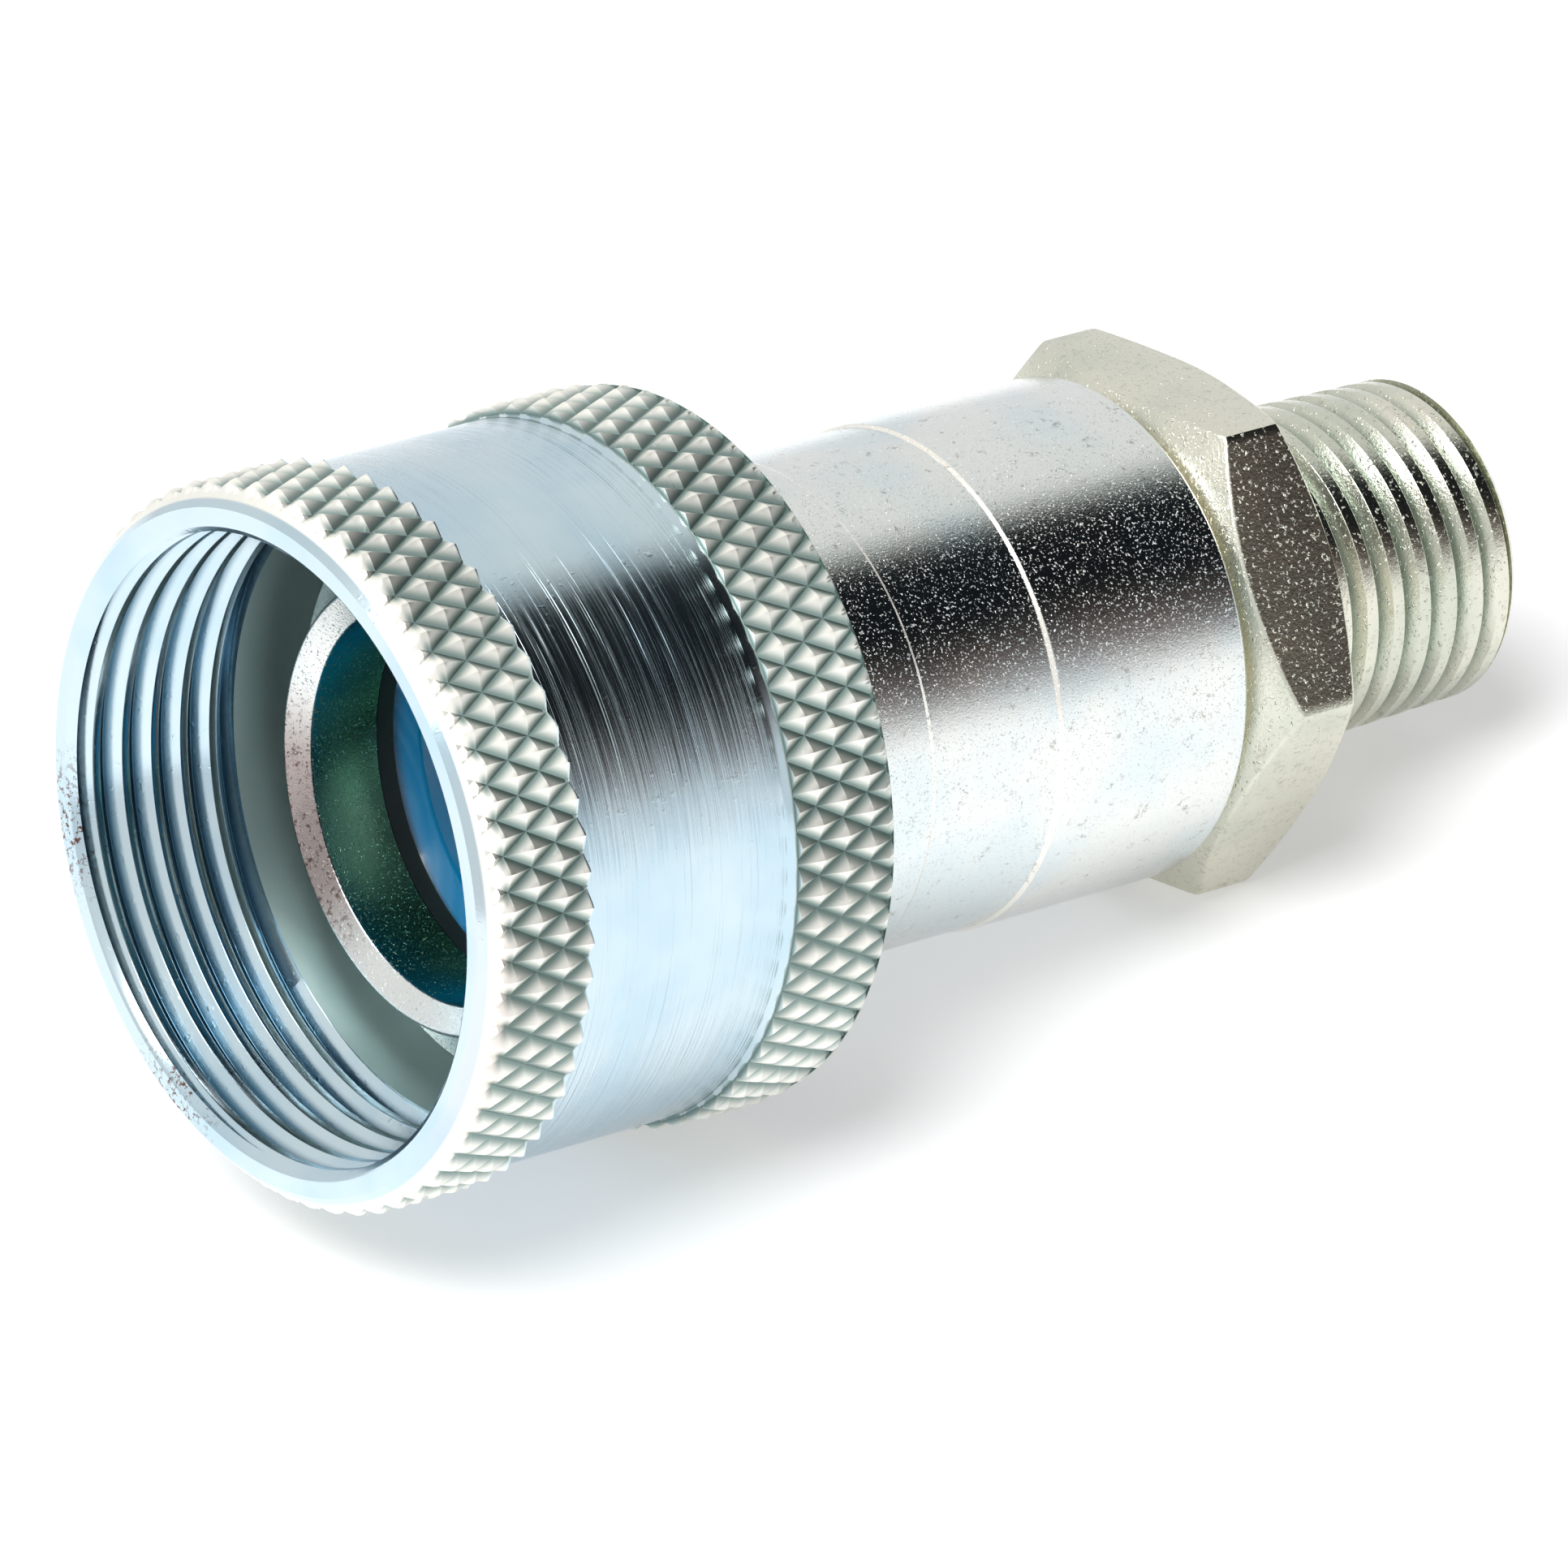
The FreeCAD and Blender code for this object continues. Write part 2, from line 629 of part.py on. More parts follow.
# Valve guide: a disc with flow ports round a hub that the stem slides in
guide_bore = stem_radius + stem_clearance
guide_rim = tail_bore_radius - guide_clearance
port_circle = (guide_hub_radius + guide_rim) / 2
guide = turned_piece("valve_guide", [
    (guide_step, guide_bore),
    (guide_step, guide_rim),
    (guide_rear, guide_rim),
    (guide_rear, guide_hub_radius),
    (guide_hub_rear, guide_hub_radius),
    (guide_hub_rear, guide_bore),
])
port_sketch = cross_sketch(guide, "Port", guide_step + guide_thickness / 2)
draw_circle(port_sketch, centre, port_circle, port_radius)
port = cut_through(guide, "Port_cut", port_sketch, guide_thickness * 2)
repeat_around(guide, "Ports", port, port_count)

# Internal retaining ring behind the guide
guide_ring = turned_piece("guide_retaining_ring", [
    (guide_ring_front, guide_ring_bore),
    (guide_ring_front, groove_floor - groove_clearance),
    (guide_ring_front + guide_ring_thickness, groove_floor - groove_clearance),
    (guide_ring_front + guide_ring_thickness, guide_ring_bore),
])
split_ring(guide_ring, guide_ring_opening, groove_floor)

# Adapter: sealed spigot, thread into the body, hexagon and tapered pipe thread at its crests
screw_radius = tail_thread_radius - groove_clearance
hex_corner_radius = product(half_flats, hex_corner_ratio)
bevel_rise = tangent(hex_bevel_angle)
hex_cone_start = hex_flat_front - product(half_flats - shoulder_radius, bevel_rise)
hex_cone_end = hex_flat_front + product(hex_corner_radius - half_flats, bevel_rise)
hex_rear_bevel = hex_rear - product(hex_corner_radius - half_flats, bevel_rise)
pipe_pitch = pipe_length * 0.1176  # 18 turns to the inch


def pipe_wall(station):
    """Radius of the pipe thread's crests at a station, along its taper."""
    return pipe_end_radius + product(pipe_end - pipe_bevel - station, tangent(pipe_taper_angle))


adapter = turned_piece("adapter", [
    (spigot_front, flow_radius + countersink_depth),
    (spigot_front, spigot_radius - spigot_bevel),
    (spigot_front + spigot_bevel, spigot_radius),
    (seal_groove_front, spigot_radius),
    (seal_groove_front, seal_groove_radius),
    (seal_groove_rear, seal_groove_radius),
    (seal_groove_rear, spigot_radius),
    (tail_thread_start + groove_clearance, spigot_radius),
    (tail_thread_start + groove_clearance, screw_radius),
    (body_end, screw_radius),
    (body_end, shoulder_radius),
    (hex_cone_start, shoulder_radius),
    (hex_cone_end, hex_corner_radius),
    (hex_rear_bevel, hex_corner_radius),
    (hex_rear, half_flats),
    (hex_rear, pipe_wall(hex_rear)),
    *thread_vees(hex_rear + pipe_pitch * 0.6, pipe_pitch, 8, pipe_thread_depth, pipe_wall),
    (pipe_end - pipe_bevel, pipe_end_radius),
    (pipe_end, pipe_end_radius - pipe_bevel),
    (pipe_end, flow_radius),
    (spigot_front + countersink_depth, flow_radius),
], crowned=(11, 13))
flat_sketch = cross_sketch(adapter, "Flat", (body_end + hex_rear) / 2)
draw_outline(flat_sketch, [(centre - hex_flats, half_flats), (hex_flats, half_flats),
                           (hex_flats, hex_flats), (centre - hex_flats, hex_flats)])
flat_cut = cut_through(adapter, "Flat_cut", flat_sketch, hex_rear - body_end)
repeat_around(adapter, "Hexagon", flat_cut, Size(6, "6"))

# O-ring and back-up ring in the groove of the adapter
adapter_section = (tail_bore_radius - seal_groove_radius - seal_clearance) / 2
adapter_ring_radius = seal_groove_radius + adapter_section + seal_clearance / 2
round_ring("adapter_o_ring", seal_groove_front + adapter_section + seal_clearance,
           adapter_ring_radius, adapter_section)
adapter_backup_rear = seal_groove_rear - seal_clearance
adapter_backup_front = adapter_backup_rear - adapter_backup_thickness
turned_piece("adapter_backup_ring", [
    (adapter_backup_front, seal_groove_radius + seal_clearance),
    (adapter_backup_front, spigot_radius),
    (adapter_backup_rear, spigot_radius),
    (adapter_backup_rear, seal_groove_radius + seal_clearance),
])

doc.recompute()
for item in doc.Objects:
    if "Invalid" in item.State or "Error" in item.State:
        raise RuntimeError(f"{item.Label} failed: {item.State}")
for part in parts:
    if part.Shape.isNull() or not part.Shape.isValid():
        raise RuntimeError(f"{part.Label} has no valid shape")
    if len(part.Shape.Solids) != 1:
        raise RuntimeError(f"{part.Label} is {len(part.Shape.Solids)} solids")

os.makedirs("parts", exist_ok=True)
for part in parts:
    part.Shape.exportStep(f"parts/{part.Label}.step")
    print(part.Label, round(part.Shape.Volume, 2), len(part.Shape.Faces))
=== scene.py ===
import json
import math

import bmesh
import bpy
import numpy as np
from mathutils import Matrix, Vector


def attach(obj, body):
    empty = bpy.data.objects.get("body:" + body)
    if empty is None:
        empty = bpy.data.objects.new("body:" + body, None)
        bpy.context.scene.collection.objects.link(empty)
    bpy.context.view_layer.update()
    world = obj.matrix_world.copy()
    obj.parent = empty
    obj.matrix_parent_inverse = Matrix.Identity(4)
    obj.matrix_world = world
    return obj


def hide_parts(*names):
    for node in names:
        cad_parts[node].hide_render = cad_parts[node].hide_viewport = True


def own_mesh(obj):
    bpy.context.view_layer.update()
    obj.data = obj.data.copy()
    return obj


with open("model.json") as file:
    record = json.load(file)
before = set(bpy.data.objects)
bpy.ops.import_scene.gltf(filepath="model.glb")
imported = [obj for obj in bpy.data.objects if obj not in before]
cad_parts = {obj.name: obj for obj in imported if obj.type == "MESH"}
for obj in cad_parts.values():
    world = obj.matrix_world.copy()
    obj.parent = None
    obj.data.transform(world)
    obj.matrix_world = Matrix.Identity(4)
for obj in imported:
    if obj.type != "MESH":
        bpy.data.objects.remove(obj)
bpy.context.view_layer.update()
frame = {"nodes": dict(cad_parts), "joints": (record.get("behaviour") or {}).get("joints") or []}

# The centre line, which every turned piece of the coupler shares. It starts in the mouth of
# the collar and slopes down to the pipe end, because the coupler lies on the rear rim of its
# collar and on one flat of its hexagon. Lengths below are millimetres along it and out from it.
MM = 0.001
spin = next(joint for joint in frame["joints"] if joint["name"] == "collar_spin")
mouth = np.array(spin["pos_m"])
along = np.array(spin["axis"]) / np.linalg.norm(spin["axis"])
side = np.array([0.0, -1.0, 0.0])
above = np.cross(side, along)
slope = math.atan2(-along[2], along[0])


# The table that the coupler was photographed on: a pale sheet, so bright that only the soft
# shadow of the coupler shows on it.
class Socket:
    """A shader number. An expression on it adds the Math nodes that work it out."""

    def __init__(self, finish, link):
        self.finish = finish
        self.link = link

    def math(self, operation, first, second=0.0):
        return self.finish.node("ShaderNodeMath", {"operation": operation}, {0: first, 1: second})

    def __add__(self, other):
        return self.math("ADD", self, other)

    def __radd__(self, other):
        return self.math("ADD", other, self)

    def __sub__(self, other):
        return self.math("SUBTRACT", self, other)

    def __rsub__(self, other):
        return self.math("SUBTRACT", other, self)

    def __mul__(self, other):
        return self.math("MULTIPLY", self, other)

    def __rmul__(self, other):
        return self.math("MULTIPLY", other, self)

    def __truediv__(self, other):
        return self.math("DIVIDE", self, other)

    def __pow__(self, other):
        return self.math("POWER", self, other)

    def __abs__(self):
        return self.math("ABSOLUTE", self)

    def over(self, low, high):
        """0 below low, 1 above high, and smooth between them."""
        return self.finish.node("ShaderNodeMapRange", {"interpolation_type": "SMOOTHSTEP", "clamp": True},
                                {"Value": self, "From Min": low, "From Max": high}, "Result")

    def under(self, low, high):
        """1 below low, 0 above high, and smooth between them."""
        return 1.0 - self.over(low, high)

    def near(self, middle, inner, outer):
        """1 less than inner from the middle, 0 more than outer from it, and smooth between them."""
        return abs(self - middle).under(inner, outer)


class Finish:
    """A material or a world in the making: node() adds one node and gives its output."""

    def __init__(self, owner):
        owner.use_nodes = True
        self.owner = owner
        self.tree = owner.node_tree
        self.tree.nodes.clear()

    def node(self, kind, settings=None, values=None, output=0):
        made = self.tree.nodes.new(kind)
        for key, value in (settings or {}).items():
            if key == "stops":
                ramp = made.color_ramp
                while len(ramp.elements) < len(value):
                    ramp.elements.new(0.5)
                for element, (position, colour) in zip(ramp.elements, value):
                    element.position = position
                    element.color = (*colour, 1.0)
            else:
                setattr(made, key, value)
        for key, value in (values or {}).items():
            if isinstance(value, Socket):
                self.tree.links.new(value.link, made.inputs[key])
            else:
                made.inputs[key].default_value = value
        return Socket(self, made.outputs[output])

    def mix(self, share, first, second):
        """The first colour, and the second where share is 1."""
        return self.node("ShaderNodeMix", {"data_type": "RGBA"}, {0: share, 6: first, 7: second}, 2)

    def noise(self, vector, scale, detail, roughness=0.5):
        return self.node("ShaderNodeTexNoise", {}, {
            "Vector": vector, "Scale": scale, "Detail": detail, "Roughness": roughness})

    def ray(self, kind):
        """1 for rays of that kind: Camera, Glossy or Diffuse."""
        return self.node("ShaderNodeLightPath", output=f"Is {kind} Ray")

    def end(self, kind, surface):
        self.tree.links.new(surface.link, self.tree.nodes.new(kind).inputs["Surface"])
        return self.owner


def quad(name, half):
    """A square floor of that half width."""
    mesh = bpy.data.meshes.new(name)
    corners = [(-half, -half, 0), (half, -half, 0), (half, half, 0), (-half, half, 0)]
    mesh.from_pydata(corners, [], [(0, 1, 2, 3)])
    square = bpy.data.objects.new(name, mesh)
    bpy.context.scene.collection.objects.link(square)
    return square


TABLE_HALF = 1.5
LIFT_SEEN, LIFT_MIRRORED = 0.36, 0.32
table = quad("table", TABLE_HALF)
paper = Finish(bpy.data.materials.new("table_paper"))
white = paper.node("ShaderNodeBsdfDiffuse", {}, {"Color": (0.86, 0.865, 0.87, 1)})
lift = paper.node("ShaderNodeEmission", {}, {
    "Color": (1, 1, 1, 1),
    "Strength": paper.ray("Camera") * LIFT_SEEN + paper.ray("Glossy") * LIFT_MIRRORED})
sheet = paper.node("ShaderNodeAddShader", {}, {0: white, 1: lift})
table.data.materials.append(paper.end("ShaderNodeOutputMaterial", sheet))

# The studio: white all round, with one dark card to the rear right, whose reflection runs
# along every polished barrel of the coupler as a dark band with a brownish lower edge.
CARD_ACROSS = Vector((-0.082, -0.865, -0.495)).normalized()
CARD_MIDDLE = Vector((0.69, -0.32, 0.65)).normalized()
UP = Vector((0, 0, 1))
STUDIO_STRENGTH, MATT_LOSS = 0.92, 0.46
world = bpy.data.worlds.new("studio")
bpy.context.scene.world = world
studio = Finish(world)
look = studio.node("ShaderNodeTexCoord", output="Generated")


def towards(direction):
    """How far a ray goes towards a direction, from -1 to 1."""
    return studio.node("ShaderNodeVectorMath", {"operation": "DOT_PRODUCT"},
                       {0: look, 1: direction}, "Value")


card = studio.node("ShaderNodeValToRGB", {"stops": [
    (0.00, (1.0, 1.0, 0.98)),
    (0.25, (0.93, 0.94, 0.92)),
    (0.31, (0.34, 0.37, 0.36)),
    (0.335, (0.010, 0.013, 0.015)),
    (0.60, (0.008, 0.010, 0.012)),
    (0.67, (0.05, 0.042, 0.038)),
    (0.77, (0.26, 0.21, 0.195)),
    (1.00, (0.62, 0.62, 0.64))]},
    {"Fac": (towards(CARD_ACROSS) + 1.0) / 2.0})
near_card = towards(CARD_MIDDLE).over(0.62, 0.82)
sky = studio.mix(towards(UP).over(-0.1, 0.9), (0.93, 0.94, 0.95, 1), (0.99, 0.99, 0.97, 1))
around = studio.node("ShaderNodeBackground", {}, {
    "Color": studio.mix(near_card, sky, card),
    "Strength": STUDIO_STRENGTH - studio.ray("Diffuse") * MATT_LOSS})
plain = studio.node("ShaderNodeBackground", {}, {"Color": (1, 1, 1, 1), "Strength": 1.0})
studio.end("ShaderNodeOutputWorld", studio.node("ShaderNodeMixShader", {}, {
    0: studio.ray("Camera"), 1: around, 2: plain}))

# The lamp: one broad soft light above the coupler and to its left, which keeps the shadow
# close under the body.
LAMP_SIZE, LAMP_POWER = 0.5, 4.6
LAMP_PLACE = Vector((-0.30, -0.12, 0.60))
lamp = bpy.data.objects.new("soft_lamp", bpy.data.lights.new("soft_lamp", "AREA"))
bpy.context.scene.collection.objects.link(lamp)
lamp.data.shape = "DISK"
lamp.data.size = LAMP_SIZE
lamp.data.energy = LAMP_POWER
facing = (-LAMP_PLACE).to_track_quat("-Z", "Y").to_matrix().to_4x4()
lamp.matrix_world = Matrix.Translation(LAMP_PLACE) @ facing

# The camera: a long lens at the height and side of the photograph, with its slight roll.
# Its place is given from the middle of the mouth, in millimetres of the picture's own axes.
VIEW_TURN, VIEW_RISE, VIEW_ROLL = math.radians(35.43), math.radians(30.0), math.radians(-5.565)
MOUTH_LEFT, MOUTH_BELOW, MOUTH_AWAY = 20.04, 2.70, 624.6
forward = np.array([math.sin(VIEW_TURN) * math.cos(VIEW_RISE),
                    math.cos(VIEW_TURN) * math.cos(VIEW_RISE), -math.sin(VIEW_RISE)])
level = np.array([math.cos(VIEW_TURN), -math.sin(VIEW_TURN), 0.0])
lifted = np.cross(level, forward)
right = level * math.cos(VIEW_ROLL) + lifted * math.sin(VIEW_ROLL)
upright = np.cross(right, forward)
eye = mouth + (right * MOUTH_LEFT + upright * MOUTH_BELOW - forward * MOUTH_AWAY) * MM
camera = bpy.data.objects.new("camera", bpy.data.cameras.new("camera"))
bpy.context.scene.collection.objects.link(camera)
camera.data.lens = 372.7
camera.data.sensor_width = 36.0
camera.data.clip_start = 0.02
camera.data.clip_end = 20.0
camera.matrix_world = Matrix([
    [right[axis], upright[axis], -forward[axis], eye[axis]] for axis in range(3)] + [[0, 0, 0, 1]])
bpy.context.scene.camera = camera
bpy.context.scene.view_settings.view_transform = "Standard"


# The union collar: turned from steel bar, knurled in two bands, threaded inside its mouth and
# plated with bright blue zinc. It spins on the body and is screwed over the other coupler half.
def place(station, radius, turn):
    """The point at a station along the centre line, out from it by a radius, turned from the top."""
    s, r, a = np.broadcast_arrays(station, radius, turn)
    outward = np.cos(a)[..., None] * above + np.sin(a)[..., None] * side
    return mouth + (s[..., None] * along + r[..., None] * outward) * MM


def eased(path, ease, steps=4):
    """Rounds each inner corner c of a path: the curve (1-t)^2 p + 2t(1-t) c + t^2 q, with p and q
    on the two edges, at most 0.4 of an edge away from c."""
    c = np.array(path, float)
    before, after = c[:-2] - c[1:-1], c[2:] - c[1:-1]
    long_before = np.linalg.norm(before, axis=-1, keepdims=True)
    long_after = np.linalg.norm(after, axis=-1, keepdims=True)
    reach = np.minimum(ease, 0.4 * np.minimum(long_before, long_after))
    p, q = c[1:-1] + before / long_before * reach, c[1:-1] + after / long_after * reach
    t = np.linspace(0, 1, steps + 1).reshape(-1, *[1] * c.ndim)
    curve = (1 - t) ** 2 * p + 2 * t * (1 - t) * c[1:-1] + t ** 2 * q
    curve = np.swapaxes(curve, 0, 1).reshape(-1, *c.shape[1:])
    return np.concatenate([c[:1], curve, c[-1:]])


PLAIN = np.zeros((1, 1), bool)
MERGE_DISTANCE, SLIVER_LENGTH = 2e-7, 1e-8


def skin(name, patches, crease):
    """Joins grids of points, each (rows, columns, 3), into one closed mesh. A cell is split from its
    first corner to its third, or from its second to its fourth where the grid's mark is set."""
    points, faces, start = [], [], 0
    for grid, second in patches:
        rows, columns = grid.shape[:2]
        index = start + np.arange(rows * columns).reshape(rows, columns)
        a, b, c, d = index[:-1, :-1], index[1:, :-1], index[1:, 1:], index[:-1, 1:]
        mark = np.broadcast_to(second, a.shape)[..., None]
        faces.append(np.where(mark, np.stack([a, b, d], -1), np.stack([a, b, c], -1)).reshape(-1, 3))
        faces.append(np.where(mark, np.stack([b, c, d], -1), np.stack([a, c, d], -1)).reshape(-1, 3))
        points.append(grid.reshape(-1, 3))
        start += rows * columns
    mesh = bpy.data.meshes.new(name)
    mesh.from_pydata(np.concatenate(points), [], np.concatenate(faces))
    work = bmesh.new()
    work.from_mesh(mesh)
    bmesh.ops.remove_doubles(work, verts=work.verts, dist=MERGE_DISTANCE)
    bmesh.ops.dissolve_degenerate(work, edges=work.edges, dist=SLIVER_LENGTH)
    bmesh.ops.recalc_face_normals(work, faces=work.faces)
    work.to_mesh(mesh)
    work.free()
    mesh.shade_smooth()
    mesh.set_sharp_from_angle(angle=math.radians(crease))
    piece = bpy.data.objects.new(name, mesh)
    bpy.context.scene.collection.objects.link(piece)
    return piece


def turned(path, turns):
    """The grid of a path of (station, radius) carried round the centre line."""
    path = np.array(path, float)
    return place(path[:, :1], path[:, 1:], turns[None, :]), PLAIN


def thread_grid(start, end, pitch, shape, radius, turns, phase):
    """A right-hand thread between two stations. shape is one pitch of its outline as (share of the
    pitch, depth), and radius gives the wall of the station that the depth is added to. Each row runs
    as a helix, station = row + pitch * turn / 2 pi, and rests against both ends."""
    share, depth = np.array(shape, float).T
    first = math.floor((start - phase) / pitch) - 1
    count = math.ceil((end - phase) / pitch) - first + 1
    row = (phase + (first + np.arange(count)[:, None] + share[None, :]) * pitch).reshape(-1, 1)
    station = np.clip(row + pitch * turns[None, :] / (2 * math.pi), start, end)
    at = np.mod((station - phase) / pitch - turns[None, :] / (2 * math.pi), 1.0)
    wall = radius(station) + np.interp(at, share, depth)
    line = station[:1] * 0
    station = np.concatenate([line + start, station, line + end])
    wall = np.concatenate([line + radius(start), wall, line + radius(end)])
    return place(station, wall, turns[None, :]), PLAIN


COLLAR_CREASE = 24
KNURLS, KNURL_LEAN, CELLS = 64, math.radians(30), 10
CREST, ROOT, POINT, BLUNT = 14.65, 14.2, 0.38, 0.02
COLLAR_LENGTH, REAR_KNURL, FRONT_KNURL, FACE = 19.6, 15.0, 4.9, 0.003
RIM_RADIUS, MOUTH_RADIUS, REAR_RIM_RADIUS, BAND_RADIUS = 13.65, 12.95, 14.35, 14.1
THREAD_START, THREAD_END, THREAD_WALL = 0.3, 7.9, 12.65
THREAD_PITCH, THREAD_DEPTH, THREAD_PHASE = 1.411, 0.7, 0.2
RELIEF_RADIUS, WEB_START, WEB_RADIUS, WEB_END, RECESS_RADIUS = 13.45, 13.7, 10.35, 18.3, 12.2
around_collar = np.linspace(0, 2 * math.pi, KNURLS * CELLS + 1)
lattice = 2 * math.pi * CREST / KNURLS / math.tan(KNURL_LEAN)


def knurled(low, high, bevel):
    """Rows of a band with crossing vee grooves. With u counting grooves round the band and v along it,
    a groove runs where u + v or u - v is whole, and the metal stands up from it in step with the
    distance to the nearest groove. The bevel gives the band's own radius at its ends."""
    middle = (low + high) / 2
    reach = int((high - low) / 2 / lattice * CELLS)
    j = np.arange(reach, -reach - 1, -1)
    station = np.concatenate([[high], middle + j * lattice / CELLS, [low]])
    u = around_collar[None, :] * KNURLS / (2 * math.pi)
    v = ((station - middle) / lattice)[:, None]
    gap = np.minimum(abs((u + v) - np.round(u + v)), abs((u - v) - np.round(u - v))) * 2
    height = POINT * (1 - np.sqrt((1 - gap) ** 2 + BLUNT)) / (1 - math.sqrt(BLUNT))
    radius = np.minimum(bevel(station)[:, None], ROOT + np.maximum(height, 0.0))
    i = np.arange(KNURLS * CELLS)[None, :]
    grooves = (i - j[:, None] + 1) % CELLS == 0
    mark = np.concatenate([np.zeros((1, i.size), bool), grooves[:-1], np.zeros((2, i.size), bool)])
    return np.broadcast_to(station[:, None], radius.shape), radius, mark


def rows(path):
    """A path as full rows round the collar."""
    path = np.array(path, float)
    shape = (len(path), around_collar.size)
    return (np.broadcast_to(path[:, :1], shape), np.broadcast_to(path[:, 1:], shape),
            np.zeros((len(path), shape[1] - 1), bool))


inside = eased([
    (THREAD_END, THREAD_WALL), (THREAD_END, RELIEF_RADIUS), (WEB_START, RELIEF_RADIUS),
    (WEB_START, WEB_RADIUS), (WEB_END, WEB_RADIUS), (WEB_END, RECESS_RADIUS),
    (COLLAR_LENGTH, RECESS_RADIUS), (COLLAR_LENGTH, REAR_RIM_RADIUS)], 0.12, 2)
shoulder = eased([
    (REAR_KNURL, ROOT), (REAR_KNURL - 0.02, ROOT - 0.01), (REAR_KNURL - 0.45, BAND_RADIUS),
    (FRONT_KNURL, BAND_RADIUS)], 0.06)
face = eased([(FACE, RIM_RADIUS), (FACE, MOUTH_RADIUS), (THREAD_START, THREAD_WALL)], 0.12)
stack = [rows(inside),
         knurled(REAR_KNURL, COLLAR_LENGTH,
                 lambda s: np.minimum(CREST, REAR_RIM_RADIUS + (COLLAR_LENGTH - s))),
         rows(shoulder),
         knurled(FACE, FRONT_KNURL, lambda s: np.minimum(CREST, RIM_RADIUS + s / 0.95)),
         rows(face)]
station, radius, mark = (np.concatenate(part) for part in zip(*stack))
outer = place(station, radius, around_collar[None, :]), mark[:-1]
vee = eased([(0.0, 0.0), (0.13, 0.0), (0.42, THREAD_DEPTH), (0.58, THREAD_DEPTH), (0.87, 0.0), (1.0, 0.0)],
            0.035, 2)[:-1]
inner = thread_grid(THREAD_START, THREAD_END, THREAD_PITCH, vee, lambda s: THREAD_WALL, around_collar,
                    THREAD_PHASE)
collar = skin("collar_knurled", [outer, inner], COLLAR_CREASE)
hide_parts("union_collar")


def coordinates(finish):
    """The piece's own coordinates in millimetres, with X along the centre line: the point, its
    station, its distance from the centre line and its turn round it."""
    local = finish.node("ShaderNodeTexCoord", output="Object")
    turned_back = finish.node("ShaderNodeMapping", {"vector_type": "TEXTURE"}, {
        "Vector": local, "Location": tuple(mouth), "Rotation": (0.0, slope, 0.0)})
    point = finish.node("ShaderNodeVectorMath", {"operation": "SCALE"}, {0: turned_back, "Scale": 1 / MM})
    station, beside, higher = (finish.node("ShaderNodeSeparateXYZ", {}, {0: point}, axis) for axis in "XYZ")
    turn = finish.node("ShaderNodeMath", {"operation": "ARCTAN2"}, {0: beside, 1: higher})
    return point, station, (beside * beside + higher * higher) ** 0.5, turn


def turning(finish, station, turn, fineness, drift):
    """The lines of a lathe tool: noise that changes quickly along the piece and slowly round it."""
    vector = finish.node("ShaderNodeCombineXYZ", {}, {0: station * fineness, 1: turn * drift, 2: 0.0})
    return finish.noise(vector, 1.0, 3.0, 0.6)


def plated(name, clean, film, rough, grain, grain_scale, lines=0.0, colours=None, matt=None, lined=None):
    """Bright zinc plating. clean is the metal's colour and film that of its thin coloured film, which
    lies on it in soft patches. grain is the height of its pitting and lines that of the turning marks,
    in millimetres. colours adds what only one piece has, matt gives the places that are rougher, and
    lined those that the turning marks are on."""
    finish = Finish(bpy.data.materials.new(name))
    point, station, radius, turn = coordinates(finish)
    cloud = finish.noise(point, 0.16, 3.0)
    metal = finish.mix(cloud.over(0.42, 0.66), (*clean, 1), (*film, 1))
    fine = finish.noise(point, grain_scale, 3.0, 0.65)
    pits = finish.noise(point, grain_scale * 0.8, 2.0, 0.6).over(0.59, 0.78)
    if colours:
        metal = colours(finish, metal, point, station, radius, turn)
    if matt:
        rough = rough + matt(station, radius)
    height = (fine * 0.4 + pits) * grain
    if lined:
        marks = turning(finish, station, turn, 9.0, 0.4) + turning(finish, station, turn, 3.5, 0.3) * 0.5
        height = height + marks * lines * lined(station, radius)
    bump = finish.node("ShaderNodeBump", {}, {"Strength": 1.0, "Distance": MM, "Height": height})
    surface = finish.node("ShaderNodeBsdfPrincipled", {}, {
        "Base Color": metal, "Metallic": 1.0, "Roughness": rough + fine * 0.08, "Normal": bump})
    return finish.end("ShaderNodeOutputMaterial", surface)


def on_knurls(station, radius):
    """The two knurled bands."""
    return radius.over(13.9, 14.0) * (station.under(4.8, 4.9) + station.over(14.9, 15.0))


def on_band(station, radius):
    """The smooth band between the two knurls."""
    return radius.over(13.9, 14.0) * station.over(4.9, 5.2) * station.under(14.4, 14.7)


def on_relief(station, radius):
    """The bore behind the thread."""
    return station.over(7.9, 8.0) * radius.under(13.5, 13.6)


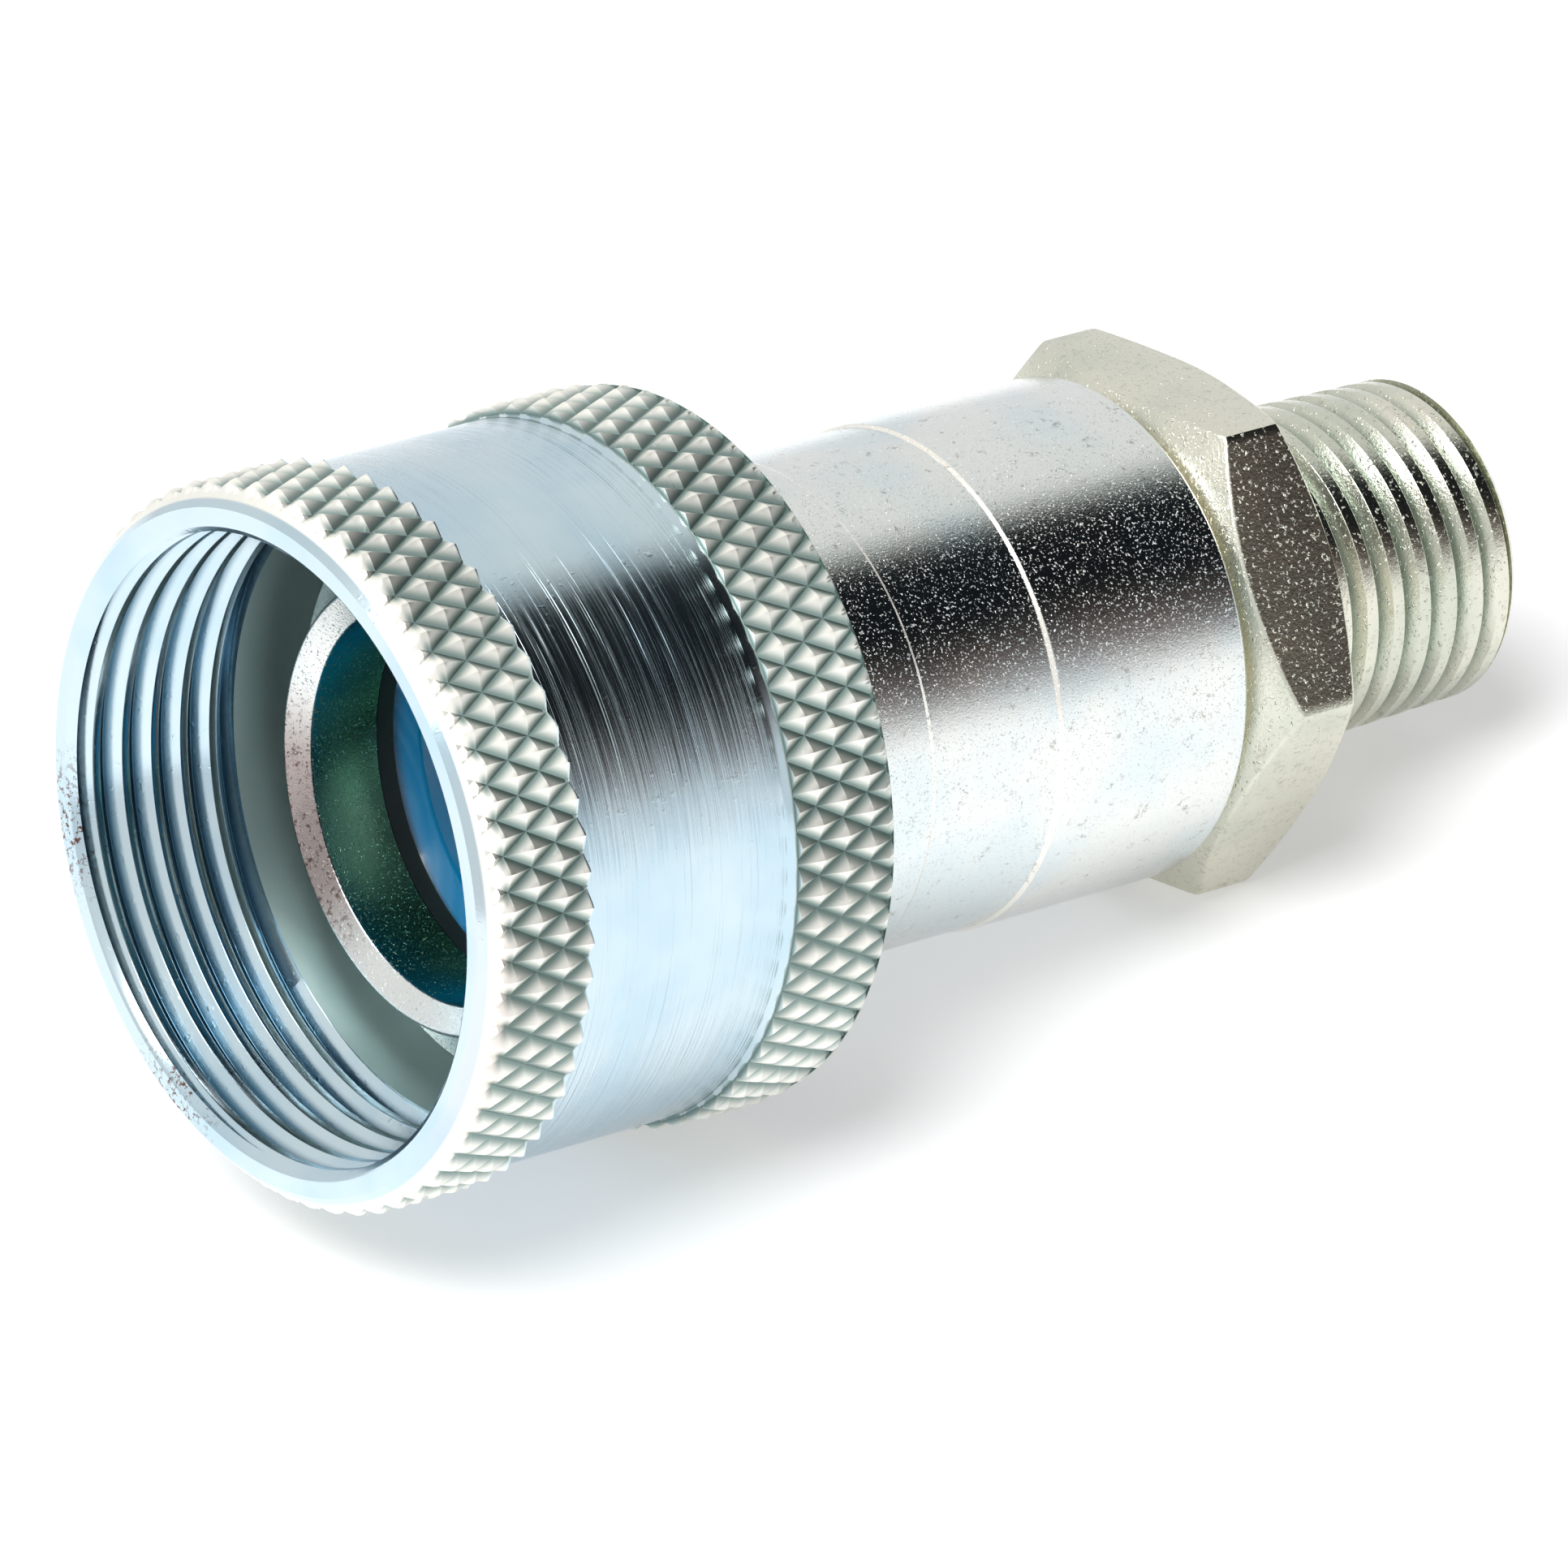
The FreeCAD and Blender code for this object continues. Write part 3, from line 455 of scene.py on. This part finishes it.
def collar_colours(finish, metal, point, station, radius, turn):
    """Cream knurls with painted shade, dark teal, in their grooves, painted shade, deep blue, in the
    thread's roots, a grey-green relief that is partly painted shade, a pink blush on the rim's right
    side and brown specks on the two worn parts of the rim."""
    knurls = on_knurls(station, radius)
    metal = finish.mix(knurls, metal, (0.93, 0.92, 0.86, 1))
    # Painted shade: the knurls' grooves are darkened to teal.
    valley_shade = radius.under(14.22, 14.52) * knurls * station.over(0.8, 1.1)
    metal = finish.mix(valley_shade * 0.8, metal, (0.09, 0.20, 0.19, 1))
    # Painted shade: the roots of the thread inside the mouth are darkened to deep blue.
    depth = radius.over(12.9, 13.3) * radius.under(13.55, 13.6)
    depth = depth * station.over(0.3, 0.45) * station.under(7.9, 8.0)
    metal = finish.mix(depth * 0.9, metal, (0.05, 0.14, 0.21, 1))
    # The relief's grey-green is partly the film's tint and partly painted shade in this recess.
    metal = finish.mix(on_relief(station, radius) * 0.8, metal, (0.52, 0.64, 0.62, 1))
    blush = station.under(0.9, 1.3) * radius.over(13.3, 13.5) * turn.near(-1.75, 0.1, 0.7)
    metal = finish.mix(blush * 0.2, metal, (0.84, 0.66, 0.64, 1))
    rim = station.under(0.25, 0.5) * radius.under(13.6, 13.9)
    worn = turn.near(1.85, 0.05, 0.3) + turn.near(2.75, 0.05, 0.25)
    specks = finish.noise(point, 3.2, 4.0, 0.75).over(0.52, 0.60)
    return finish.mix(specks * rim * worn, metal, (0.16, 0.08, 0.06, 1))


def collar_matt(station, radius):
    """The knurls' rolled flanks and the relief are less shiny than the turned faces."""
    return on_knurls(station, radius) * 0.3 + on_relief(station, radius) * 0.25


collar.data.materials.append(plated(
    "blue_zinc", (0.59, 0.71, 0.77), (0.50, 0.65, 0.74), 0.12, 0.004, 3.0, 0.05,
    collar_colours, collar_matt, on_band))
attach(collar, "collar")

# The socket body: turned from bar and bored from both ends. Its nose takes the plug of the other
# half, its waist shows two fine shoulder lines, and the adapter is screwed into its rear end.
BODY_CREASE = 24
around_body = np.linspace(0, 2 * math.pi, 257)
nose = [(11.4, 7.95), (8.17, 7.95), (7.65, 9.0), (7.8, 9.15), (10.6, 9.15)]
flange = [(10.6, 11.8), (10.9, 12.1), (13.0, 12.1), (13.0, 10.28)]
ring_groove = [(18.35, 10.28), (18.35, 9.75), (19.45, 9.75), (19.45, 10.28)]
waist = [(24.8, 10.28), (24.95, 10.18), (31.2, 10.18), (31.35, 10.3)]
tail = [(40.6, 10.3), (40.9, 10.0), (40.9, 8.85), (40.6, 8.55), (36.2, 8.55), (36.2, 8.1)]
guide_groove = [(32.1, 8.1), (32.1, 8.6), (31.2, 8.6), (31.2, 8.1)]
chamber = [(29.6, 8.1), (29.6, 7.6), (20.2, 7.6), (17.6, 5.0), (15.85, 5.0)]
gland = [(15.85, 9.0), (11.4, 9.0), (11.4, 7.95)]
body_path = nose + flange + ring_groove + waist + tail + guide_groove + chamber + gland
body = skin("body_turned", [turned(eased(body_path, 0.07), around_body)], BODY_CREASE)
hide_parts("socket_body")


def body_colours(finish, metal, point, station, radius, turn):
    """A painted highlight along the two shoulder lines, a green film darkened by painted shade in the
    socket, brown wear with specks on the left of the nose, and fine dark dust outside."""
    outside = radius.over(9.9, 10.0)
    # Painted highlight: a bright line round each of the two shoulder edges.
    lines = station.near(24.87, 0.05, 0.12) + station.near(31.27, 0.05, 0.12)
    metal = finish.mix(lines * outside, metal, (0.98, 0.95, 0.88, 1))
    # Painted shade: the bores inside the socket are dark green, partly the film's tint and partly the shade
    # deep inside.
    socket = station.over(8.2, 8.3) * radius.under(8.1, 8.3)
    metal = finish.mix(socket * 0.9, metal, (0.16, 0.36, 0.26, 1))
    worn = station.under(8.2, 8.3) * radius.under(9.0, 9.2) * turn.near(2.0, 0.25, 0.8)
    metal = finish.mix(worn * 0.8, metal, (0.22, 0.16, 0.15, 1))
    specks = finish.noise(point, 3.4, 4.0, 0.75).over(0.54, 0.62)
    metal = finish.mix(specks * worn, metal, (0.12, 0.08, 0.07, 1))
    dust = finish.noise(point, 1.6, 6.0, 0.85).over(0.58, 0.65)
    return finish.mix(dust * outside * 0.7, metal, (0.30, 0.29, 0.25, 1))


body.data.materials.append(plated(
    "clear_zinc", (0.77, 0.79, 0.77), (0.68, 0.75, 0.77), 0.06, 0.020, 12.0, colours=body_colours))
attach(body, "body")

# The adapter: one turned and milled piece with a hexagon for the spanner, a sealed spigot in the
# body and a tapered pipe thread. Its plating has a faint yellow film.
ADAPTER_CREASE = 24
FLAT, NECK, CORNER = 10.0, 9.0, 11.5
HEX_START, HEX_FRONT, HEX_REAR, BEVEL = 40.9, 41.7, 46.1, math.tan(math.radians(30))
PIPE_END, PIPE_WALL, PIPE_BEVEL, TAPER = 58.1, 6.63, 0.55, math.tan(math.radians(1.79))
PIPE_BORE, PIPE_DEPTH, PIPE_PHASE, WELD = 4.2, 0.6, 0.35, 0.02
SPIGOT_FRONT, SPIGOT_RADIUS, SPIGOT_LIP = 32.5, 8.05, 6.2
around_hex = np.linspace(0, 2 * math.pi, 361)
from_flat = np.mod(around_hex + math.pi / 6, math.pi / 3) - math.pi / 6
hexagon = np.minimum(FLAT / np.cos(from_flat), CORNER)
pipe_start = PIPE_END - PIPE_BEVEL


def pipe_wall(station):
    """The crests of the tapered thread."""
    return PIPE_WALL + (pipe_start - station) * TAPER


def ring(station, radius):
    """One row of the adapter, whose station and radius may change round it."""
    return np.stack(np.broadcast_arrays(station, radius, hexagon)[:2], -1)


spigot = [(SPIGOT_FRONT, SPIGOT_LIP), (SPIGOT_FRONT, 7.75), (32.8, SPIGOT_RADIUS), (33.3, SPIGOT_RADIUS),
          (33.3, 6.75), (35.6, 6.75), (35.6, SPIGOT_RADIUS), (36.25, SPIGOT_RADIUS), (36.25, 8.5),
          (HEX_START, 8.5), (HEX_START, NECK), (HEX_FRONT - (FLAT - NECK) * BEVEL, NECK)]
hex_path = eased(np.stack([ring(*point) for point in spigot] + [
    ring(HEX_FRONT + (hexagon - FLAT) * BEVEL, hexagon),
    ring(HEX_REAR - (hexagon - FLAT) * BEVEL - WELD, hexagon),
    ring(HEX_REAR, FLAT - WELD),
    ring(HEX_REAR, pipe_wall(HEX_REAR))]), 0.14)
hex_grid = place(hex_path[..., 0], hex_path[..., 1], around_hex[None, :]), PLAIN
pipe_vee = eased([(0.0, 0.0), (0.2, 0.0), (0.47, -PIPE_DEPTH), (0.53, -PIPE_DEPTH), (0.8, 0.0), (1.0, 0.0)],
                 0.03, 3)[:-1]
pipe_grid = thread_grid(HEX_REAR, pipe_start, THREAD_PITCH, pipe_vee, pipe_wall, around_hex, PIPE_PHASE)
end_path = eased([(pipe_start, PIPE_WALL), (PIPE_END, PIPE_WALL - PIPE_BEVEL), (PIPE_END, PIPE_BORE),
                  (34.5, PIPE_BORE), (SPIGOT_FRONT, SPIGOT_LIP)], 0.1)
adapter = skin("adapter_threaded", [hex_grid, pipe_grid, turned(end_path, around_hex)], ADAPTER_CREASE)
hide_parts("adapter")


def adapter_colours(finish, metal, point, station, radius, turn):
    """A yellow edge by the body, painted shade in grey-green in the pipe thread's roots and fine dark dust.
    """
    neck = radius.under(9.1, 9.9) * station.over(40.0, 40.2) * station.under(42.0, 42.3)
    metal = finish.mix(neck * 0.75, metal, (0.58, 0.46, 0.22, 1))
    wall = radius - (PIPE_WALL + (pipe_start - station) * TAPER)
    # Painted shade: the roots of the pipe thread are darkened to grey-green.
    valley_shade = wall.under(-0.5, -0.08) * station.over(46.1, 46.3) * radius.over(5.6, 5.8)
    metal = finish.mix(valley_shade * 0.7, metal, (0.25, 0.31, 0.26, 1))
    dust = finish.noise(point, 1.9, 6.0, 0.85).over(0.54, 0.64)
    return finish.mix(dust * 0.45, metal, (0.36, 0.34, 0.27, 1))


adapter.data.materials.append(plated(
    "yellow_zinc", (0.72, 0.71, 0.61), (0.60, 0.62, 0.53), 0.15, 0.034, 7.0, colours=adapter_colours))
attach(adapter, "body")

# The rod seal: a glossy blue lip seal, cast from polyurethane and sprung into the gland of the
# socket, where it closes on the plug of the other half.
RING_CREASE = 30
seal_path = [(12.3, 8.45), (12.3, 8.95), (15.8, 8.95), (15.8, 8.71), (14.3, 8.35),
             (15.8, 7.99), (15.8, 7.75), (13.35, 7.75), (12.3, 8.45)]
rod_seal = skin("lip_seal", [turned(eased(seal_path, 0.1), around_body)], RING_CREASE)
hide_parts("rod_seal")
cast_blue = Finish(bpy.data.materials.new("blue_polyurethane"))
glossy = cast_blue.node("ShaderNodeBsdfPrincipled", {}, {
    "Base Color": (0.0, 0.25, 0.54, 1), "Roughness": 0.2, "Coat Weight": 0.6, "Coat Roughness": 0.05})
rod_seal.data.materials.append(cast_blue.end("ShaderNodeOutputMaterial", glossy))
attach(rod_seal, "body")


# The back-up ring in front of the rod seal: a near-black ring cut from filled fluoropolymer, which
# keeps the seal from being pressed into the gap. Its near-black is partly painted shade for that gap.
def matt_plastic(name, colour, rough):
    """A plain moulded or cut plastic or rubber."""
    finish = Finish(bpy.data.materials.new(name))
    surface = finish.node("ShaderNodeBsdfPrincipled", {}, {"Base Color": (*colour, 1), "Roughness": rough})
    return finish.end("ShaderNodeOutputMaterial", surface)


backup_path = [(11.45, 7.95), (11.45, 8.95), (12.25, 8.95), (12.25, 7.95), (11.45, 7.95)]
backup = skin("backup_ring", [turned(eased(backup_path, 0.05), around_body)], RING_CREASE)
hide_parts("seal_backup_ring")
# Near-black: partly the plastic's own colour and partly painted shade for the dark gap in front of the rod
# seal.
black_plastic_and_shade = matt_plastic("fluoropolymer_and_painted_shade", (0.008, 0.012, 0.016), 0.45)
backup.data.materials.append(black_plastic_and_shade)
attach(backup, "body")


# The turned steel pieces inside, plated and kept as they were made: the washer in front of the
# collar's web, the poppet, the pin on its stud and the guide that its stem slides in.
def paint(material, *names):
    """Gives CAD nodes one material."""
    for name in names:
        node = frame["nodes"][name]
        node.data.materials.clear()
        node.data.materials.append(material)


inner_plating = plated("plated_inside", (0.66, 0.67, 0.66), (0.60, 0.62, 0.62), 0.28, 0.004, 5.0)
paint(inner_plating, "thrust_washer", "valve_poppet", "poppet_nose", "valve_guide")

# The two retaining rings: split rings stamped from dark spring steel, one behind the collar's web
# and one behind the guide.
spring_steel = plated("spring_steel", (0.24, 0.24, 0.25), (0.20, 0.20, 0.21), 0.35, 0.004, 5.0)
paint(spring_steel, "collar_retaining_ring", "guide_retaining_ring")

# The rubber rings: the loader between the lips of the rod seal, the ring that closes the valve and
# the one that seals the spigot. The dark ring behind that last one is the same plastic as above.
paint(matt_plastic("nitrile", (0.02, 0.02, 0.02), 0.5), "seal_loader_ring", "poppet_seal", "adapter_o_ring")
paint(black_plastic_and_shade, "adapter_backup_ring")

# The valve spring: 4.5 turns of round wire between the poppet's head and the guide, built at its
# rest length only. In the real valve it gets shorter towards the guide when the poppet is pushed in.
SPRING_CREASE = 40
SPRING_FRONT, SPRING_REAR, SPRING_TURNS = 21.68, 29.12, 4.5
COIL_RADIUS, WIRE_RADIUS, WIRE_START = 3.9, 0.44, math.radians(120)
HEAD_REAR, GUIDE_FRONT, POPPET_TRAVEL = 21.2, 29.6, 3.5
t = np.linspace(0, 2 * math.pi * SPRING_TURNS, 301)[:, None]
w = np.linspace(0, 2 * math.pi, 13)[None, :]
wire_at = SPRING_FRONT + (SPRING_REAR - SPRING_FRONT) * t / t[-1]
coil = place(wire_at + WIRE_RADIUS * np.sin(w), COIL_RADIUS + WIRE_RADIUS * np.cos(w), WIRE_START - t)
front_end, rear_end = (np.broadcast_to(coil[i].mean(0), (1, *coil[i].shape)) for i in (0, -1))
spring = skin("coil_spring", [(np.concatenate([front_end, coil, rear_end]), PLAIN)], SPRING_CREASE)
spring.data.materials.append(spring_steel)
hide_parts("valve_spring")
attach(spring, "body")
place(GUIDE_FRONT, 0.0, 0.0)
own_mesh(spring)
